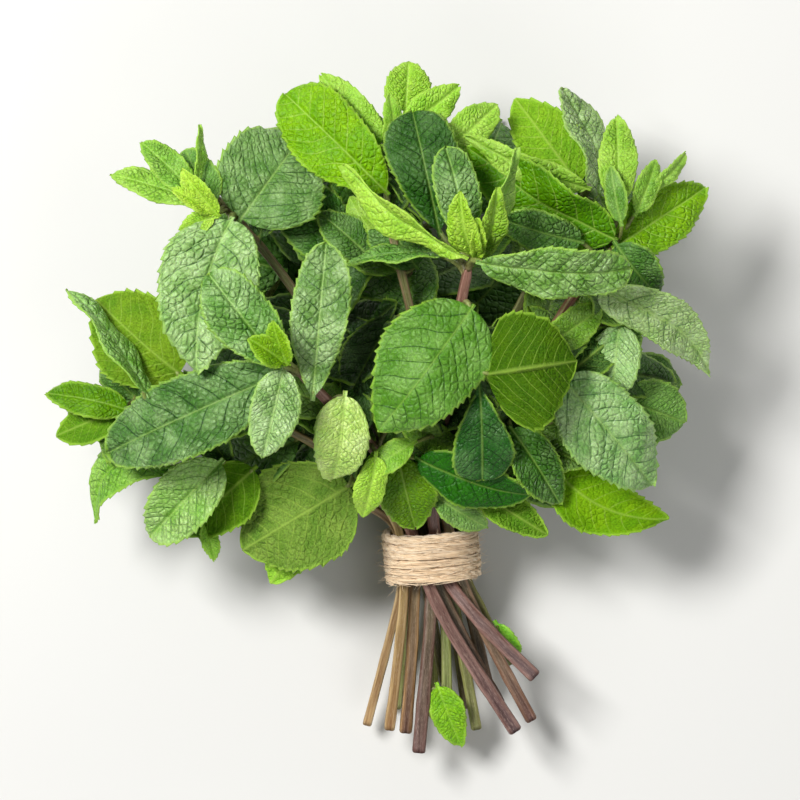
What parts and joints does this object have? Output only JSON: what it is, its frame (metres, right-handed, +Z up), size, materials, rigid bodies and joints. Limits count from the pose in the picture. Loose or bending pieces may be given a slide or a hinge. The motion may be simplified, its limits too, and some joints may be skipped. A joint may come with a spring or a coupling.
{
  "type": "tied mint bunch",
  "caption": "Fresh mint stems held in a bunch by a wound twine tie, lying flat, with cut ends fanned out on one side and toothed, quilted leaves mounded on the other.",
  "frame": {"origin": "on the resting surface, under the centre of the bunch's bounding box", "axes": "+Y runs from the cut stem ends to the growing tips, +Z points up out of the surface the bunch lies on"},
  "size_m": [0.1995, 0.2116, 0.0995],
  "materials": {
    "mint_stem": "fresh square herb stem, faintly glossy",
    "mint_leaf": "fresh quilted leaf, soft sheen",
    "jute_twine": "rough twisted jute"
  },
  "bodies": {
    "root": {"twine_tie": "jute_twine", "stem_01": "mint_stem", "stem_02": "mint_stem", "stem_03": "mint_stem", "stem_04": "mint_stem", "stem_05": "mint_stem", "stem_06": "mint_stem", "stem_07": "mint_stem", "stem_08": "mint_stem", "stem_09": "mint_stem", "stem_10": "mint_stem", "stem_11": "mint_stem", "stem_12": "mint_stem", "stem_13": "mint_stem", "stem_14": "mint_stem", "stem_15": "mint_stem", "stem_16": "mint_stem", "leaf_under_1": "mint_leaf", "leaf_under_2": "mint_leaf", "leaf_under_3": "mint_leaf", "leaf_skirt_1": "mint_leaf", "leaf_skirt_2": "mint_leaf", "leaf_skirt_3": "mint_leaf", "leaf_skirt_4": "mint_leaf", "leaf_skirt_5": "mint_leaf", "leaf_skirt_6": "mint_leaf", "leaf_collar_1": "mint_leaf", "leaf_collar_2": "mint_leaf", "leaf_left_1": "mint_leaf", "leaf_right_1": "mint_leaf", "leaf_back_1": "mint_leaf", "leaf_back_2": "mint_leaf", "leaf_back_3": "mint_leaf", "leaf_collar_3": "mint_leaf", "leaf_collar_4": "mint_leaf", "leaf_left_2": "mint_leaf", "leaf_left_3": "mint_leaf", "leaf_left_4": "mint_leaf", "leaf_left_5": "mint_leaf", "leaf_collar_5": "mint_leaf", "leaf_right_2": "mint_leaf", "leaf_right_3": "mint_leaf", "leaf_right_4": "mint_leaf", "leaf_back_4": "mint_leaf", "leaf_back_5": "mint_leaf", "leaf_back_6": "mint_leaf", "leaf_back_7": "mint_leaf", "leaf_right_5": "mint_leaf", "leaf_collar_6": "mint_leaf", "leaf_collar_7": "mint_leaf", "leaf_right_6": "mint_leaf", "leaf_left_6": "mint_leaf", "leaf_left_7": "mint_leaf", "leaf_crown_1": "mint_leaf", "leaf_crown_2": "mint_leaf", "leaf_crown_3": "mint_leaf", "leaf_crown_4": "mint_leaf", "leaf_crown_5": "mint_leaf", "leaf_crown_6": "mint_leaf", "leaf_crown_7": "mint_leaf"}
  },
  "joints": []
}
